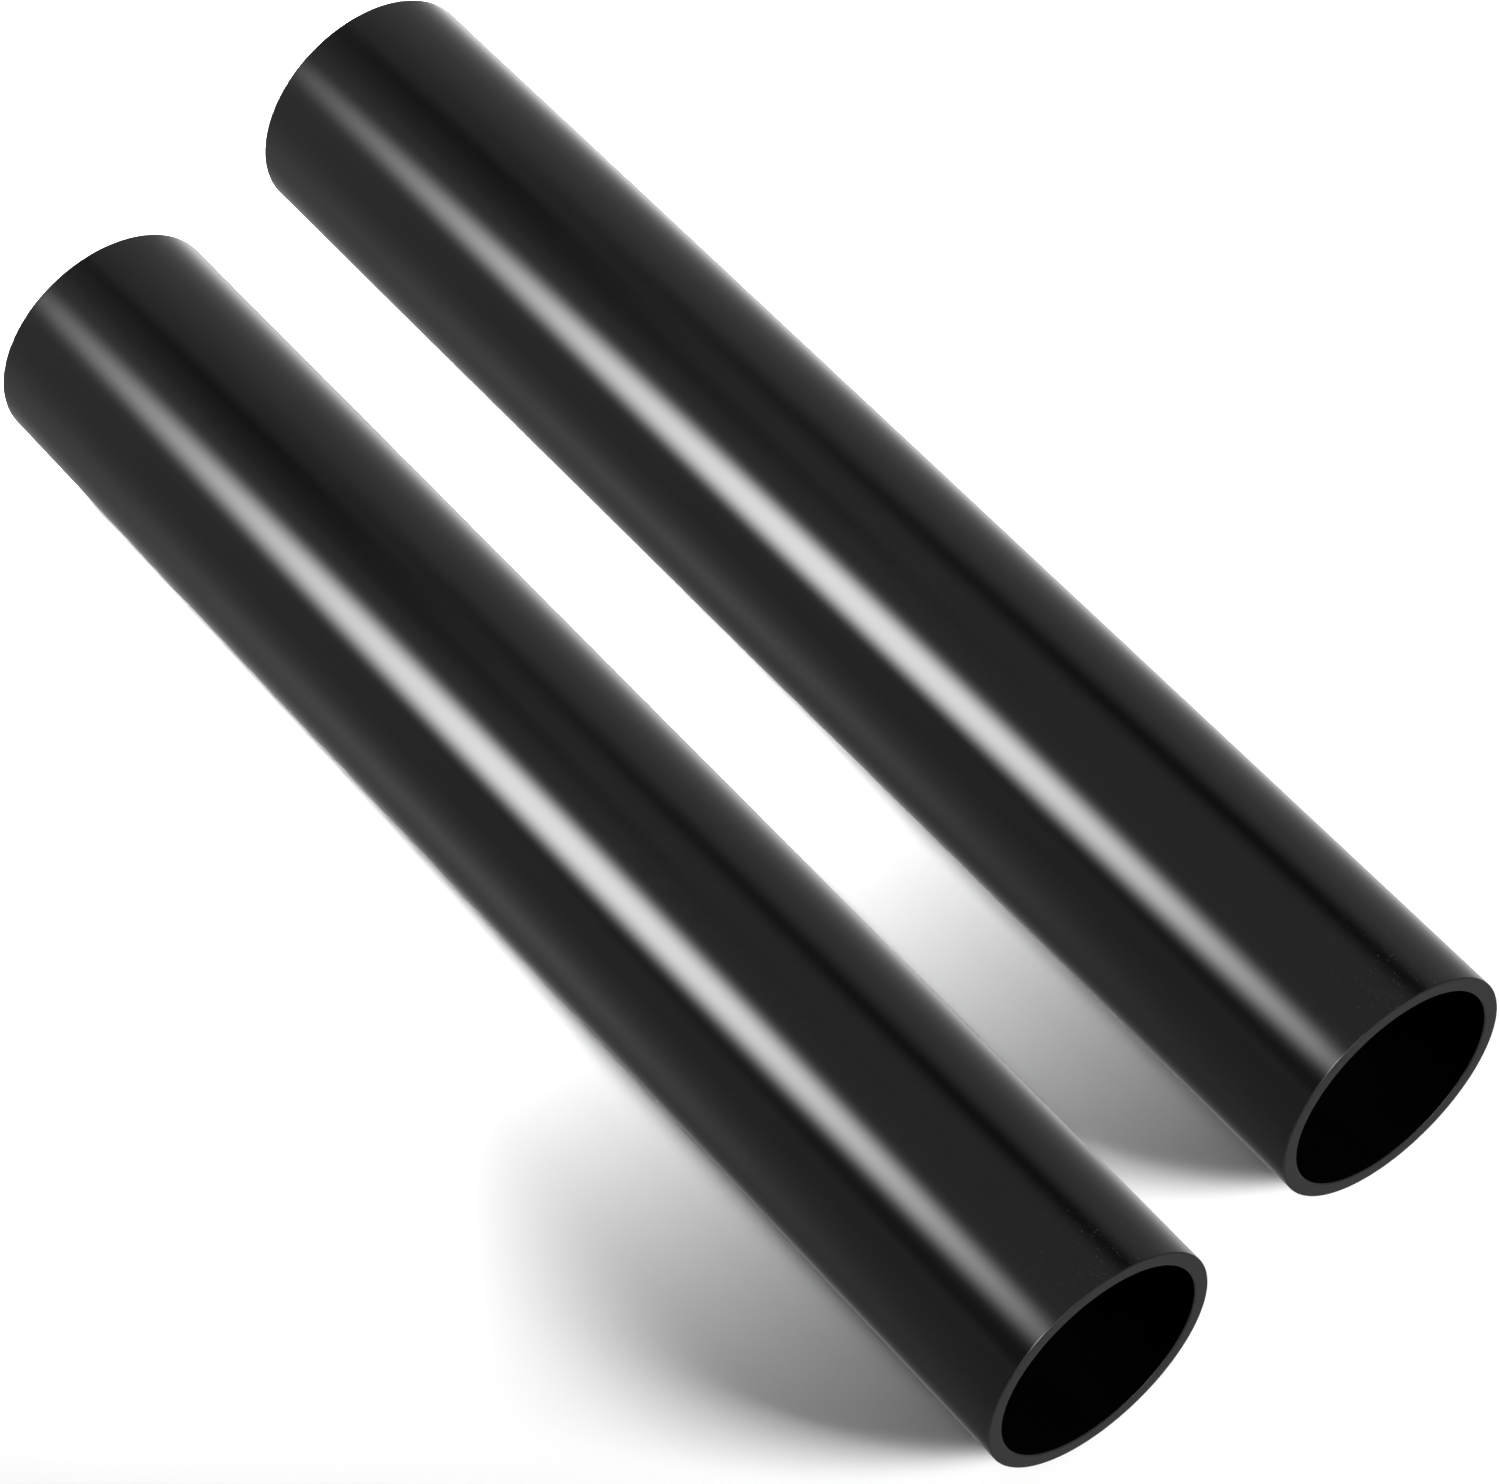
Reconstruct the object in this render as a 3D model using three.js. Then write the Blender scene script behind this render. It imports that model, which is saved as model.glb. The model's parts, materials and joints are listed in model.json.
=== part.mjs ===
// A pair of focus training sticks: two loose, straight, rigid tubes that a coach holds out
// as targets, one in each hand. They are alike, open at both ends, and lie side by side on
// level ground.
//
// Frame: millimetres, +X along the sticks, +Y from the front stick to the rear one, +Z up.
// The origin is on the ground, midway between the two sticks and midway along them.

import * as THREE from 'three';

const STICK_LENGTH = 390;
const OUTER_DIAMETER = 63;
const WALL_THICKNESS = 3.8;
const EDGE_BREAK = 0.4; // chamfer on the inner and outer edge of each cut end
const AXIS_SPACING = 88.5; // from one stick's axis to the other's
const SIDES = 128; // flats around the tube

const OUTER_RADIUS = OUTER_DIAMETER / 2;
const BORE_RADIUS = OUTER_RADIUS - WALL_THICKNESS;
const HALF_LENGTH = STICK_LENGTH / 2;

const STICKS = [
  { name: 'front_stick', side: -1 },
  { name: 'rear_stick', side: 1 },
];

// The wall cut lengthwise, on one side of the axis: x is the distance from the axis and y the
// place along it. It runs up the outside and down the bore, and ends where it starts.
function wallSection() {
  const openEnd = [
    [OUTER_RADIUS, HALF_LENGTH - EDGE_BREAK],
    [OUTER_RADIUS - EDGE_BREAK, HALF_LENGTH],
    [BORE_RADIUS + EDGE_BREAK, HALF_LENGTH],
    [BORE_RADIUS, HALF_LENGTH - EDGE_BREAK],
  ];
  const otherEnd = openEnd.map(([radius, along]) => [radius, -along]).reverse();
  const loop = [...openEnd, ...otherEnd, openEnd[0]];
  return loop.map(([radius, along]) => new THREE.Vector2(radius, along));
}

// The hard black plastic that both sticks are extruded from.
function stickPlastic() {
  return new THREE.MeshStandardMaterial({ color: 0x0b0b0c, roughness: 0.25, metalness: 0 });
}

// One tube, turned from the lathe's upright axis to lie along X, with its lowest line at z = 0.
function makeStick({ name, side }) {
  const stick = new THREE.Mesh(new THREE.LatheGeometry(wallSection(), SIDES), stickPlastic());
  stick.name = name;
  stick.rotation.z = -Math.PI / 2;
  stick.position.set(0, (side * AXIS_SPACING) / 2, OUTER_RADIUS);
  return stick;
}

const group = new THREE.Group();
for (const stick of STICKS) group.add(makeStick(stick));

export default group;
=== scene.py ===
"""A pair of focus training sticks: two loose, rigid, glossy black tubes, lying side by side."""

import json
import logging
import math
from collections.abc import Callable, Iterable, Mapping, Sequence
from dataclasses import dataclass, field
from enum import Enum
from typing import Any

import bpy
from mathutils import Matrix, Quaternion, Vector


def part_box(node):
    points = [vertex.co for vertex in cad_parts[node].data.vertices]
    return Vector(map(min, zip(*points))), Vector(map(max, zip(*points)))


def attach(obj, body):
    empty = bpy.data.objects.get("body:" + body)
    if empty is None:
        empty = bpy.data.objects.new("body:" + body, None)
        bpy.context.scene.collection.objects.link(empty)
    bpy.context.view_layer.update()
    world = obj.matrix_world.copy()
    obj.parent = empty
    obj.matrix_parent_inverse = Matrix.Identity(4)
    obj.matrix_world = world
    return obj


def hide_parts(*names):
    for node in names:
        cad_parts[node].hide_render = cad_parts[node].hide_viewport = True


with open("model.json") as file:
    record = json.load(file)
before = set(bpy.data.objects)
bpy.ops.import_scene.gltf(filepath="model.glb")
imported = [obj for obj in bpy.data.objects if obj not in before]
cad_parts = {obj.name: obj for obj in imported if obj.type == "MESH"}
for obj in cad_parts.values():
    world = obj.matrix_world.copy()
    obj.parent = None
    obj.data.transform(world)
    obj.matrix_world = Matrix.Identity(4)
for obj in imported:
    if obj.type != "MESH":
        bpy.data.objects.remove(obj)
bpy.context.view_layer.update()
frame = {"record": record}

MM = 0.001
TIGHT = 0.01 * MM
LOOSE = 0.1 * MM
LENGTHWISE = 0.9
LOG = logging.getLogger("training_sticks")


# ---------------------------------------------------------------------------
# Shader bench: a short way to write materials
# ---------------------------------------------------------------------------


class Wire:
    """One shader socket, on which Python arithmetic adds Math nodes."""

    def __init__(self, bench: "Bench", socket: bpy.types.NodeSocket) -> None:
        """Keeps the bench that owns the socket, and the socket."""
        self.bench = bench
        self.socket = socket

    def math(self, operation: str, *others: "Wire | float", clamp: bool = False) -> "Wire":
        """Adds one Math node.

        Args:
            operation: the Math node's operation.
            others: what its second and third sockets take.
            clamp: whether the result is held between 0 and 1.

        Returns:
            The result.
        """
        settings = {"operation": operation, "use_clamp": clamp}
        sockets = dict(enumerate((self, *others)))
        return self.bench.add("ShaderNodeMath", settings, sockets)

    def __add__(self, other: "Wire | float") -> "Wire":
        """Sum."""
        return self.math("ADD", other)

    def __radd__(self, other: float) -> "Wire":
        """Sum, with a number on the left."""
        return self.math("ADD", other)

    def __sub__(self, other: "Wire | float") -> "Wire":
        """Difference."""
        return self.math("SUBTRACT", other)

    def __rsub__(self, other: float) -> "Wire":
        """Difference, with a number on the left."""
        return self.bench.number(other).math("SUBTRACT", self)

    def __mul__(self, other: "Wire | float") -> "Wire":
        """Product."""
        return self.math("MULTIPLY", other)

    def __rmul__(self, other: float) -> "Wire":
        """Product, with a number on the left."""
        return self.math("MULTIPLY", other)

    def __truediv__(self, other: "Wire | float") -> "Wire":
        """Quotient."""
        return self.math("DIVIDE", other)

    def __pow__(self, other: "Wire | float") -> "Wire":
        """Power."""
        return self.math("POWER", other)

    def __gt__(self, other: "Wire | float") -> "Wire":
        """1 where this is the greater, else 0."""
        return self.math("GREATER_THAN", other)

    def fade(self, low: float, high: float, at_low: float = 0.0, at_high: float = 1.0) -> "Wire":
        """Turns smoothly from one value to another.

        Args:
            low: the input where the turn starts.
            high: the input where it ends.
            at_low: the value at and below low.
            at_high: the value at and above high.

        Returns:
            The turned value.
        """
        settings = {"interpolation_type": "SMOOTHSTEP", "clamp": True}
        sockets = dict(enumerate((self, low, high, at_low, at_high)))
        return self.bench.add("ShaderNodeMapRange", settings, sockets)


class Bench:
    """A node tree on which a material or a sky is put together."""

    def __init__(self, tree: bpy.types.NodeTree) -> None:
        """Clears the tree and keeps it."""
        tree.nodes.clear()
        self.tree = tree

    def add(
        self,
        kind: str,
        settings: Mapping[str, Any] | None = None,
        sockets: Mapping[str | int, Any] | None = None,
        output: str | int = 0,
    ) -> Wire:
        """Adds one node.

        Args:
            kind: the node's type.
            settings: its own settings, set before its sockets.
            sockets: a value or a Wire for each socket that is named or numbered.
            output: which of its outputs is wanted.

        Returns:
            The wanted output.
        """
        node = self.tree.nodes.new(kind)
        for name, value in (settings or {}).items():
            setattr(node, name, value)
        for name, value in (sockets or {}).items():
            if isinstance(value, Wire):
                self.tree.links.new(value.socket, node.inputs[name])
            else:
                node.inputs[name].default_value = value
        return Wire(self, node.outputs[output] if len(node.outputs) else node.inputs[0])

    def number(self, value: float) -> Wire:
        """A plain number on a wire, for arithmetic that has it on the left."""
        return self.add("ShaderNodeMath", {"operation": "ADD"}, {0: value, 1: 0.0})

    def vector(self, operation: str, first: Wire, second: Any, output: str | int = 0) -> Wire:
        """Adds one Vector Math node on two vectors.

        Args:
            operation: the node's operation.
            first: the first vector.
            second: the second vector, or a plain one.
            output: which of its outputs is wanted.

        Returns:
            The wanted output.
        """
        return self.add("ShaderNodeVectorMath", {"operation": operation}, {0: first, 1: second}, output)

    def mix_colour(self, amount: Wire, low: Sequence[float], high: Sequence[float]) -> Wire:
        """Mixes two plain colours.

        Args:
            amount: 0 gives the first colour and 1 the second.
            low: the first colour, three numbers.
            high: the second colour, three numbers.

        Returns:
            The mixed colour.
        """
        settings = {"data_type": "RGBA"}
        sockets = {0: amount, 6: (*low, 1.0), 7: (*high, 1.0)}
        return self.add("ShaderNodeMix", settings, sockets, output=2)

    def place(self, centre: Vector, stretch: Sequence[float], turn: Sequence[float] = (0, 0, 0)) -> Wire:
        """Object coordinates, moved to a centre and then scaled and turned.

        Args:
            centre: the point that becomes the pattern's origin, in metres.
            stretch: how many times finer the pattern gets along each axis.
            turn: the pattern's turn about each axis, in radians.

        Returns:
            The placed coordinates.
        """
        coordinates = self.add("ShaderNodeTexCoord", output="Object")
        moved = self.vector("SUBTRACT", coordinates, centre)
        return self.add("ShaderNodeMapping", sockets={0: moved, 2: turn, 3: stretch})

    def noise(self, place: Wire, scale: float, detail: float = 2.0, roughness: float = 0.5) -> Wire:
        """Soft noise, around 0.5.

        Args:
            place: the coordinates that it follows.
            scale: how fine it is.
            detail: how many finer layers it has.
            roughness: how strong the finer layers are.

        Returns:
            The noise.
        """
        return self.add(
            "ShaderNodeTexNoise",
            {"noise_dimensions": "3D"},
            {"Vector": place, "Scale": scale, "Detail": detail, "Roughness": roughness},
        )

    def bump(self, height: Wire, depth: float, below: Wire | None = None) -> Wire:
        """Turns a height into a bumped normal.

        Args:
            height: the height, in units of depth.
            depth: how far a height of 1 stands proud, in metres.
            below: the normal to bump, where there is one.

        Returns:
            The normal.
        """
        sockets = {"Height": height, "Distance": depth, "Strength": 1.0}
        if below is not None:
            sockets["Normal"] = below
        return self.add("ShaderNodeBump", sockets=sockets)


# ---------------------------------------------------------------------------
# Finishes
# ---------------------------------------------------------------------------


@dataclass(frozen=True)
class Finish:
    """What every finish of a stick shares: its name and the values that are the same all over."""

    name: str
    ior: float
    specular: float

    def looks(self, bench: Bench, centre: Vector) -> Mapping[str, Wire]:
        """Gives what varies over the surface.

        Args:
            bench: where the nodes are added.
            centre: a point on the stick's axis, in metres.

        Returns:
            A wire for each Principled socket that varies.
        """
        raise NotImplementedError

    def make(self, owner: str, centre: Vector) -> bpy.types.Material:
        """Makes the finish for one stick.

        Args:
            owner: the stick's name.
            centre: a point on the stick's axis, in metres.

        Returns:
            The material.
        """
        material = bpy.data.materials.new(f"{owner}_{self.name}")
        material.use_nodes = True
        bench = Bench(material.node_tree)
        sockets = {"IOR": self.ior, "Specular IOR Level": self.specular}
        sockets.update(self.looks(bench, centre))
        shader = bench.add("ShaderNodeBsdfPrincipled", sockets=sockets)
        bench.add("ShaderNodeOutputMaterial", sockets={"Surface": shader})
        return material


@dataclass(frozen=True)
class GlossySkin(Finish):
    """The smooth outside of an extruded tube: glossy black, with faint die lines and handling marks."""

    name: str = "glossy_skin"
    ior: float = 1.5
    specular: float = 0.5
    black: tuple[float, float, float] = (0.0010, 0.0010, 0.0011)
    dust: tuple[float, float, float] = (0.012, 0.012, 0.0125)
    gloss_roughness: float = 0.125
    die_line_depth: float = 0.0012 * MM
    die_line_grain: tuple[float, float, float] = (1.5, 900, 900)
    ripple_depth: float = 0.004 * MM
    ripple_grain: tuple[float, float, float] = (20, 60, 60)
    cloud_grain: tuple[float, float, float] = (9, 22, 22)
    speck_grain: tuple[float, float, float] = (1400, 1400, 1400)

    def looks(self, bench: Bench, centre: Vector) -> Mapping[str, Wire]:
        """Gives the colour, roughness and normal of the skin.

        Args:
            bench: where the nodes are added.
            centre: a point on the stick's axis, in metres.

        Returns:
            The wires of the three sockets.
        """
        die_lines = bench.noise(bench.place(centre, self.die_line_grain), 1.0, detail=3.0, roughness=0.6)
        ripple = bench.noise(bench.place(centre, self.ripple_grain), 1.0, detail=1.0)
        clouds = bench.noise(bench.place(centre, self.cloud_grain), 1.0, detail=4.0, roughness=0.55)
        specks = bench.noise(bench.place(centre, self.speck_grain), 1.0, detail=1.0)
        dusty = specks.fade(0.66, 0.74) * clouds.fade(0.45, 0.7)
        rubbed = clouds.fade(0.35, 0.75)
        roughness = self.gloss_roughness + rubbed * 0.02 + (die_lines - 0.5) * 0.03 + dusty * 0.12
        normal = bench.bump(ripple, self.ripple_depth)
        normal = bench.bump(die_lines, self.die_line_depth, normal)
        return {
            "Base Color": bench.mix_colour(dusty, self.black, self.dust),
            "Roughness": roughness,
            "Normal": normal,
        }


# A wave of scale 1 repeats at this distance, in metres.
BAND_WIDTH = 0.314


@dataclass(frozen=True)
class SawnEnd(Finish):
    """A square-cut end: dull dark grey, with the saw's fine marks across the wall."""

    name: str = "sawn_end"
    ior: float = 1.5
    specular: float = 0.4
    grey: tuple[float, float, float] = (0.0016, 0.0016, 0.0017)
    chalked: tuple[float, float, float] = (0.0052, 0.0052, 0.0054)
    cut_roughness: float = 0.42
    mark_depth: float = 0.012 * MM
    mark_pitch: float = 0.55 * MM
    mark_turn: float = 28.0
    grain: tuple[float, float, float] = (2500, 2500, 2500)
    patch_grain: tuple[float, float, float] = (160, 160, 160)

    def looks(self, bench: Bench, centre: Vector) -> Mapping[str, Wire]:
        """Gives the colour, roughness and normal of the cut face.

        Args:
            bench: where the nodes are added.
            centre: a point on the stick's axis, in metres.

        Returns:
            The wires of the three sockets.
        """
        across = bench.place(centre, (1, 1, 1), turn=(math.radians(self.mark_turn), 0, 0))
        marks = bench.add(
            "ShaderNodeTexWave",
            {"wave_type": "BANDS", "bands_direction": "Y", "wave_profile": "SIN"},
            {"Vector": across, "Scale": BAND_WIDTH / self.mark_pitch, "Distortion": 1.6,
             "Detail": 3.0, "Detail Scale": 0.7, "Detail Roughness": 0.6},
            output="Fac",
        )
        grain = bench.noise(bench.place(centre, self.grain), 1.0, detail=3.0)
        patches = bench.noise(bench.place(centre, self.patch_grain), 1.0, detail=3.0)
        chalk = (marks * 0.35 + patches * 0.65 + (grain - 0.5) * 0.4).fade(0.2, 0.9)
        roughness = self.cut_roughness + patches * 0.12 + (grain - 0.5) * 0.1
        return {
            "Base Color": bench.mix_colour(chalk, self.grey, self.chalked),
            "Roughness": roughness,
            "Normal": bench.bump(marks + grain * 0.8, self.mark_depth),
        }


@dataclass(frozen=True)
class BoreWall(Finish):
    """The inside of the tube: black, duller than the outside, with the die's long lines. Its black is darker
    than the skin's and its specular is 0, which paints shade inside the bore.
    """

    name: str = "bore_wall"
    ior: float = 1.5
    # Specular 0 and a black darker than the skin's keep the bore pure black: painted shade inside the bore.
    specular: float = 0.0
    black: tuple[float, float, float] = (0.0004, 0.0004, 0.0004)
    dust: tuple[float, float, float] = (0.0011, 0.0011, 0.0011)
    bore_roughness: float = 0.5
    die_line_depth: float = 0.004 * MM
    die_line_grain: tuple[float, float, float] = (2, 700, 700)
    haze_grain: tuple[float, float, float] = (30, 60, 60)

    def looks(self, bench: Bench, centre: Vector) -> Mapping[str, Wire]:
        """Gives the colour, roughness and normal of the bore.

        Args:
            bench: where the nodes are added.
            centre: a point on the stick's axis, in metres.

        Returns:
            The wires of the three sockets.
        """
        die_lines = bench.noise(bench.place(centre, self.die_line_grain), 1.0, detail=4.0, roughness=0.65)
        haze = bench.noise(bench.place(centre, self.haze_grain), 1.0, detail=3.0)
        # The darker black in Base Color is painted shade inside the bore; the haze mixes in real dust.
        return {
            "Base Color": bench.mix_colour(haze.fade(0.4, 0.8), self.black, self.dust),
            "Roughness": self.bore_roughness + haze * 0.1 + (die_lines - 0.5) * 0.1,
            "Normal": bench.bump(die_lines, self.die_line_depth),
        }


class Region(Enum):
    """The three surfaces of a tube, by the order of their material slots."""

    SKIN = 0
    END = 1
    BORE = 2


# ---------------------------------------------------------------------------
# Hand tools for meshes
# ---------------------------------------------------------------------------


def start_piece(name: str, add: Callable[[], Any]) -> bpy.types.Object:
    """Adds a primitive with nothing else selected, and names it.

    Args:
        name: the new piece's name.
        add: the call that adds the primitive.

    Returns:
        The new object.
    """
    bpy.ops.object.select_all(action="DESELECT")
    add()
    piece = bpy.context.object
    piece.name = name
    piece.data.name = name
    return piece


def settle(piece: bpy.types.Object) -> None:
    """Puts the piece's place in its mesh, so that its object sits at the origin."""
    bpy.ops.object.select_all(action="DESELECT")
    piece.select_set(True)
    bpy.context.view_layer.objects.active = piece
    bpy.ops.object.transform_apply(location=True, rotation=True, scale=True)


def pick(piece: bpy.types.Object, mode: str, wanted: Callable[[Any], bool]) -> int:
    """Selects faces or edges of the piece by their place, and leaves it in edit mode.

    Args:
        piece: the piece, which is active.
        mode: "FACE" or "EDGE".
        wanted: tells whether a polygon, or an edge's two points, is selected.

    Returns:
        How many are selected.
    """
    mesh = piece.data
    bpy.ops.object.mode_set(mode="EDIT")
    bpy.ops.mesh.select_mode(type=mode)
    bpy.ops.mesh.select_all(action="DESELECT")
    bpy.ops.object.mode_set(mode="OBJECT")
    if mode == "FACE":
        chosen = [face for face in mesh.polygons if wanted(face)]
    else:
        points = mesh.vertices
        chosen = [e for e in mesh.edges if wanted([points[i].co for i in e.vertices])]
    for item in chosen:
        item.select = True
    bpy.ops.object.mode_set(mode="EDIT")
    return len(chosen)


# ---------------------------------------------------------------------------
# The sticks
# ---------------------------------------------------------------------------


@dataclass
class TrainingStick:
    """One stick: a straight tube with square-cut, lightly rounded ends."""

    node: str
    body: str
    wall: float = 3.8 * MM
    edge_round: float = 0.45 * MM
    sides: int = 256
    stations: int = 48
    round_steps: int = 4
    end_share: float = 0.6
    piece: bpy.types.Object | None = field(default=None, init=False)

    def __post_init__(self) -> None:
        """Reads the stick's place and size from its node."""
        low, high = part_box(self.node)
        self.centre = (low + high) / 2
        self.half_length = (high.x - low.x) / 2
        self.radius = (high.z - low.z) / 2
        self.bore = self.radius - self.wall

    def build(self) -> None:
        """Models the tube from a cylinder, and makes it stand for its node."""
        self.piece = start_piece(f"{self.node}_tube", self._add_bar)
        settle(self.piece)
        self._open_bore()
        self._divide_length()
        self._round_edges()
        bpy.ops.object.mode_set(mode="OBJECT")
        self._smooth()
        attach(self.piece, self.body)
        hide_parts(self.node)
        self.piece.visible_glossy = False

    def dress(self, finishes: Mapping[Region, Finish]) -> None:
        """Gives each region of the tube its finish.

        Args:
            finishes: the finish of each region.
        """
        mesh = self.piece.data
        mesh.materials.clear()
        for region in Region:
            mesh.materials.append(finishes[region].make(self.node, self.centre))
        for face in mesh.polygons:
            face.material_index = self._region_of(face).value

    def _add_bar(self) -> None:
        """Adds the solid bar that the tube is cut from, lying along X."""
        bpy.ops.mesh.primitive_cylinder_add(
            vertices=self.sides,
            radius=self.radius,
            depth=2 * self.half_length,
            location=self.centre,
            rotation=(0, math.pi / 2, 0),
        )

    def _open_bore(self) -> None:
        """Insets both end faces by the wall's thickness, and bridges the two discs into a bore."""
        pick(self.piece, "FACE", lambda face: abs(face.normal.x) > LENGTHWISE)
        bpy.ops.mesh.inset(thickness=self.wall, use_boundary=True)
        bpy.ops.object.mode_set(mode="OBJECT")
        pick(self.piece, "FACE", lambda face: len(face.vertices) > 4)
        bpy.ops.mesh.bridge_edge_loops()

    def _divide_length(self) -> None:
        """Cuts the long faces into short ones, so that the mesh is even."""
        bpy.ops.object.mode_set(mode="OBJECT")
        pick(self.piece, "EDGE", lambda ends: abs(ends[0].x - ends[1].x) > self.half_length)
        bpy.ops.mesh.subdivide(number_cuts=self.stations - 1)

    def _round_edges(self) -> None:
        """Rounds the inner and outer edges of both ends."""
        bpy.ops.object.mode_set(mode="OBJECT")
        near_end = self.half_length - TIGHT
        pick(self.piece, "EDGE", lambda ends: self._is_ring(ends, near_end))
        bpy.ops.mesh.bevel(
            offset=self.edge_round, offset_type="OFFSET", segments=self.round_steps, profile=0.5
        )

    def _is_ring(self, ends: Sequence[Vector], near_end: float) -> bool:
        """Tells whether an edge runs around the tube at one of its ends.

        Args:
            ends: the edge's two points.
            near_end: how far from the middle an end begins.

        Returns:
            Whether it does.
        """
        at_end = all(abs(point.x - self.centre.x) > near_end for point in ends)
        reach = [self._off_axis(point) for point in ends]
        return at_end and abs(reach[0] - reach[1]) < LOOSE

    def _off_axis(self, point: Vector) -> float:
        """The distance of a point from the stick's axis."""
        return math.hypot(point.y - self.centre.y, point.z - self.centre.z)

    def _region_of(self, face: bpy.types.MeshPolygon) -> Region:
        """Tells which surface of the tube a face belongs to.

        Args:
            face: one face of the finished tube.

        Returns:
            Its region. Most of each rounded edge counts as part of the end.
        """
        if abs(face.center.x - self.centre.x) > self.half_length - self.end_share * self.edge_round:
            return Region.END
        middle_of_wall = self.radius - self.wall / 2
        return Region.SKIN if self._off_axis(face.center) > middle_of_wall else Region.BORE

    def _smooth(self) -> None:
        """Shades the tube smooth, with the flat end faces kept flat."""
        bpy.ops.object.shade_smooth()
        modifier = self.piece.modifiers.new("even_shading", "WEIGHTED_NORMAL")
        modifier.weight = 100
        modifier.keep_sharp = False
        bpy.ops.object.modifier_apply(modifier=modifier.name)


# ---------------------------------------------------------------------------
# The studio
# ---------------------------------------------------------------------------


@dataclass(frozen=True)
class Patch:
    """A soft patch of light or dark around the studio, seen only as a reflection.

    A level above 0 adds light, as a softbox does. A level below 0 takes away that share of the
    light, as a black flag does.
    """

    name: str
    azimuth: float
    elevation: float
    width: float
    height: float
    turn: float
    level: float
    edge: float = 2.0

    def axes(self) -> tuple[Vector, Vector, Vector]:
        """The patch's own directions: along its width, along its height and outwards."""
        azimuth, elevation = math.radians(self.azimuth), math.radians(self.elevation)
        flat = math.cos(elevation)
        out = Vector((flat * math.cos(azimuth), flat * math.sin(azimuth), math.sin(elevation)))
        side = Vector((0, 0, 1)).cross(out).normalized()
        spin = Quaternion(out, math.radians(self.turn))
        return spin @ side, spin @ out.cross(side), out

    def strength(self, across: Wire, along: Wire) -> Wire:
        """How strong the patch is at a point of its face.

        Args:
            across: the distance along the patch's width.
            along: the distance along its height.

        Returns:
            A number that falls softly from 1 at the middle to 0 outside.
        """
        across = across / math.sin(math.radians(self.width))
        along = along / math.sin(math.radians(self.height))
        spread = (across * across + along * along) ** (self.edge / 2)
        return (spread * -1.0).math("EXPONENT")


@dataclass(frozen=True)
class Glow(Patch):
    """A patch that is part of the far surroundings."""

    def shade(self, bench: Bench, direction: Wire) -> Wire:
        """The patch's strength in each direction.

        Args:
            bench: where the nodes are added.
            direction: the direction that is looked in.

        Returns:
            A number from 0 to 1.
        """
        across, along, facing = (
            bench.vector("DOT_PRODUCT", direction, axis, "Value") for axis in self.axes()
        )
        return self.strength(across, along) * (facing > 0.0)


@dataclass(frozen=True)
class Panel(Patch):
    """A patch that stands near the sticks, as a real softbox or a real black flag."""

    distance: float = 1.25
    margin: float = 2.2

    def build(self) -> None:
        """Adds the panel, facing the middle of the ground, and lets only reflections see it."""
        side, top, out = self.axes()
        turn = Matrix((side, top, out)).transposed().to_euler()
        panel = start_piece(
            self.name,
            lambda: bpy.ops.mesh.primitive_plane_add(size=2.0, location=out * self.distance, rotation=turn),
        )
        widest = max(self.width, self.height)
        panel.scale = (self.margin * self.distance * math.sin(math.radians(widest)),) * 3
        panel.data.materials.append(self._finish(panel.scale.x))
        panel.visible_camera = False
        panel.visible_diffuse = False
        panel.visible_shadow = False

    def _finish(self, reach: float) -> bpy.types.Material:
        """Makes the panel's finish: clear at the edges, and bright or dark in the middle.

        Args:
            reach: half the panel's size, in metres.

        Returns:
            The material.
        """
        material = bpy.data.materials.new(self.name)
        material.use_nodes = True
        bench = Bench(material.node_tree)
        place = bench.add("ShaderNodeTexCoord", output="Object")
        across, along = (
            bench.vector("DOT_PRODUCT", place, axis, "Value") * (reach / self.distance)
            for axis in (Vector((1, 0, 0)), Vector((0, 1, 0)))
        )
        strength = self.strength(across, along)
        if self.level < 0:
            shader = bench.add("ShaderNodeBsdfTransparent", sockets={"Color": 1 + strength * self.level})
        else:
            clear = bench.add("ShaderNodeBsdfTransparent")
            light = bench.add("ShaderNodeEmission", sockets={"Strength": strength * self.level})
            shader = bench.add("ShaderNodeAddShader", sockets={0: clear, 1: light})
        bench.add("ShaderNodeOutputMaterial", sockets={"Surface": shader})
        return material


@dataclass
class Surroundings:
    """The sky over the studio: even and pale, with soft patches that only reflections show."""

    even_level: float
    dim_level: float
    backdrop_level: float
    glows: Sequence[Glow]

    def build(self) -> None:
        """Puts the sky together as the world's shader."""
        world = bpy.data.worlds.new("studio_surroundings")
        bpy.context.scene.world = world
        world.use_nodes = True
        bench = Bench(world.node_tree)
        direction = bench.add("ShaderNodeTexCoord", output="Generated")
        light = bench.number(self.even_level)
        for glow in self.glows:
            if glow.level < 0:
                light = light * (1 + glow.shade(bench, direction) * glow.level)
        for glow in self.glows:
            if glow.level > 0:
                light = light + glow.shade(bench, direction) * glow.level
        seen_in_gloss = bench.add("ShaderNodeLightPath", output="Is Glossy Ray")
        seen_directly = bench.add("ShaderNodeLightPath", output="Is Camera Ray")
        plain = self.dim_level + seen_directly * (self.backdrop_level - self.dim_level)
        level = plain + seen_in_gloss * (light - plain)
        shader = bench.add("ShaderNodeBackground", sockets={"Color": (1, 1, 1, 1), "Strength": level})
        bench.add("ShaderNodeOutputWorld", sockets={"Surface": shader})


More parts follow.
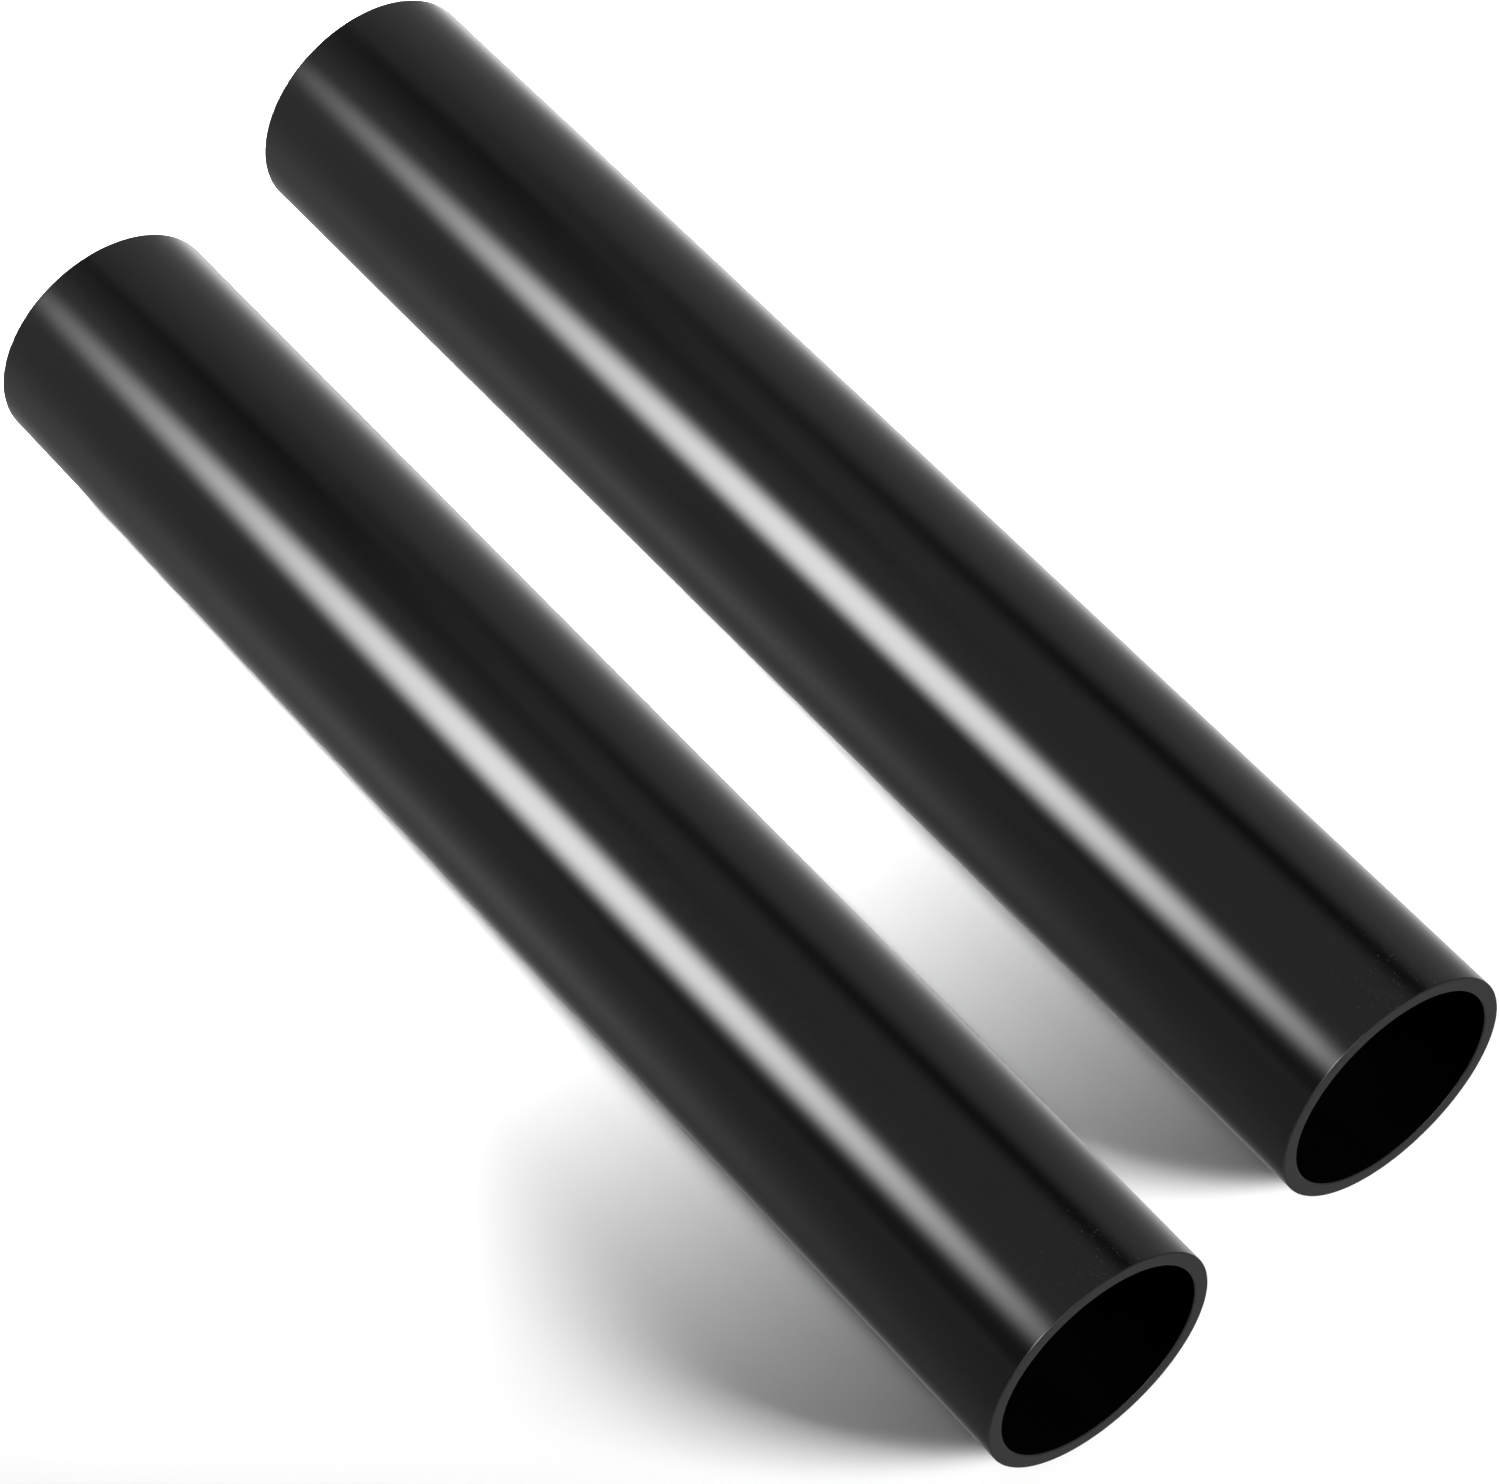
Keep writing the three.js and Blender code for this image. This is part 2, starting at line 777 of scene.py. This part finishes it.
@dataclass(frozen=True)
class Lamp:
    """A soft square lamp that lights the ground but shows in no reflection."""

    name: str
    place: tuple[float, float, float]
    aim: tuple[float, float, float]
    size: float
    watts: float
    spread: float = 180.0

    def build(self) -> None:
        """Adds the lamp and aims it."""
        place = Vector(self.place)
        turn = (place - Vector(self.aim)).to_track_quat("Z", "Y")
        bpy.ops.object.select_all(action="DESELECT")
        bpy.ops.object.light_add(type="AREA", location=place, rotation=turn.to_euler())
        lamp = bpy.context.object
        lamp.name = self.name
        lamp.data.energy = self.watts
        lamp.data.size = self.size
        lamp.data.spread = math.radians(self.spread)
        lamp.visible_glossy = False
        lamp.visible_camera = False


@dataclass
class Ground:
    """The pale ground that the sticks lie on, which turns into an evenly lit sweep farther out."""

    reach: float = 6.0
    white: float = 0.9
    sweep_level: float = 1.1
    sweep_start: float = 0.20
    sweep_end: float = 0.45

    def build(self) -> None:
        """Adds the ground just under the sticks, with a matt, pale finish."""
        ground = start_piece("ground", lambda: bpy.ops.mesh.primitive_plane_add(size=2 * self.reach))
        material = bpy.data.materials.new("pale_ground")
        material.use_nodes = True
        material.cycles.emission_sampling = "NONE"
        bench = Bench(material.node_tree)
        colour = (self.white, self.white, self.white, 1.0)
        matt = bench.add("ShaderNodeBsdfDiffuse", sockets={"Color": colour})
        lit = bench.add("ShaderNodeEmission", sockets={"Strength": self.sweep_level})
        place = bench.add("ShaderNodeTexCoord", output="Object")
        distance = bench.add("ShaderNodeVectorMath", {"operation": "LENGTH"}, {0: place}, "Value")
        swept = distance.fade(self.sweep_start, self.sweep_end)
        shader = bench.add("ShaderNodeMixShader", sockets={0: swept, 1: matt, 2: lit})
        bench.add("ShaderNodeOutputMaterial", sockets={"Surface": shader})
        ground.data.materials.append(material)
        ground.visible_glossy = False


@dataclass(frozen=True)
class Eye:
    """Where the sticks are seen from. Lengths are in stick radii."""

    azimuth: float = 81.1
    elevation: float = 59.8
    roll: float = -34.8
    distance: float = 43.5
    aim: tuple[float, float, float] = (0.61, -0.06, 1.0)
    focal_length: float = 139.6
    sensor_width: float = 36.0
    clip_start: float = 10 * MM

    def build(self, radius: float) -> None:
        """Adds the camera.

        Args:
            radius: a stick's outer radius, in metres.
        """
        azimuth, elevation = math.radians(self.azimuth), math.radians(self.elevation)
        flat = math.cos(elevation)
        back = Vector((flat * math.sin(azimuth), -flat * math.cos(azimuth), math.sin(elevation)))
        place = (Vector(self.aim) + back * self.distance) * radius
        level = back.to_track_quat("Z", "Y")
        turned = level @ Quaternion((0, 0, 1), math.radians(self.roll))
        bpy.ops.object.select_all(action="DESELECT")
        bpy.ops.object.camera_add(location=place, rotation=turned.to_euler())
        camera = bpy.context.object
        camera.name = "eye"
        camera.data.lens = self.focal_length
        camera.data.sensor_width = self.sensor_width
        camera.data.clip_start = self.clip_start
        bpy.context.scene.camera = camera


STUDIO_PANELS = (
    Panel("softbox", 216, 55, width=12, height=11.5, turn=84, level=17.5, edge=3, distance=1.15),
    Panel("long_flag", 104, 20, width=37, height=8, turn=28, level=-0.9),
    Panel("short_flag", 148, 41, width=5, height=10, turn=-70, level=-0.95),
    Panel("corner_flag", 166, 42, width=22, height=10, turn=-42, level=-0.55, edge=5),
)

STUDIO_GLOWS = (
    Glow("low_shade", 238, -35, width=60, height=10, turn=76, level=-1, edge=1.5),
    Glow("side_shade", 234, 42, width=38, height=6.5, turn=-28, level=-0.7, edge=5),
    Glow("ground_bounce", 155, -23, width=12, height=24, turn=-16, level=2.4, edge=1.5),
    Glow("low_bounce", 238, -17, width=5, height=19, turn=-7, level=0.6, edge=1.5),
    Glow("long_strip", 313, 58, width=10, height=30, turn=51, level=13, edge=5),
    Glow("strip_behind", 180, 0, width=6, height=36, turn=-24, level=1.6, edge=5),
    Glow("strip_in_front", 0, 0, width=6, height=36, turn=24, level=3, edge=5),
    Glow("right_shade", 66, 26, width=9, height=34, turn=-79, level=-0.85, edge=3),
    Glow("left_shade", 292, 20, width=9, height=34, turn=82, level=-0.85, edge=3),
)

STUDIO_LAMPS = (
    Lamp("key_lamp", place=(1.25, 0.6, 0.6), aim=(-2.4, 0.0, 0.0), size=0.36, watts=50),
    Lamp("fill_lamp", place=(-0.5, -0.045, 0.78), aim=(-0.32, 0.02, 0.0), size=0.13, watts=4.85, spread=53.5),
)


def report(names: Iterable[str]) -> None:
    """Logs each finished piece's size and triangle count."""
    for name in names:
        piece = bpy.data.objects[name]
        triangles = sum(len(face.vertices) - 2 for face in piece.data.polygons)
        sizes = " x ".join(f"{side / MM:.1f}" for side in piece.dimensions)
        LOG.info("%s: %s mm, %d triangles", name, sizes, triangles)


def main() -> None:
    """Builds the sticks and the studio around them."""
    logging.basicConfig(level=logging.INFO, format="%(name)s: %(message)s")
    bpy.context.scene.view_settings.view_transform = "Standard"
    finishes = {Region.SKIN: GlossySkin(), Region.END: SawnEnd(), Region.BORE: BoreWall()}
    sticks = [
        TrainingStick(node, body)
        for body, nodes in frame["record"]["behaviour"]["bodies"].items()
        for node in nodes
    ]
    for stick in sticks:
        stick.build()
        stick.dress(finishes)
    report(stick.piece.name for stick in sticks)
    Ground().build()
    Surroundings(even_level=0.40, dim_level=0.17, backdrop_level=1.2, glows=STUDIO_GLOWS).build()
    for light in (*STUDIO_PANELS, *STUDIO_LAMPS):
        light.build()
    Eye().build(sticks[0].radius)


if __name__ == "__main__":
    main()
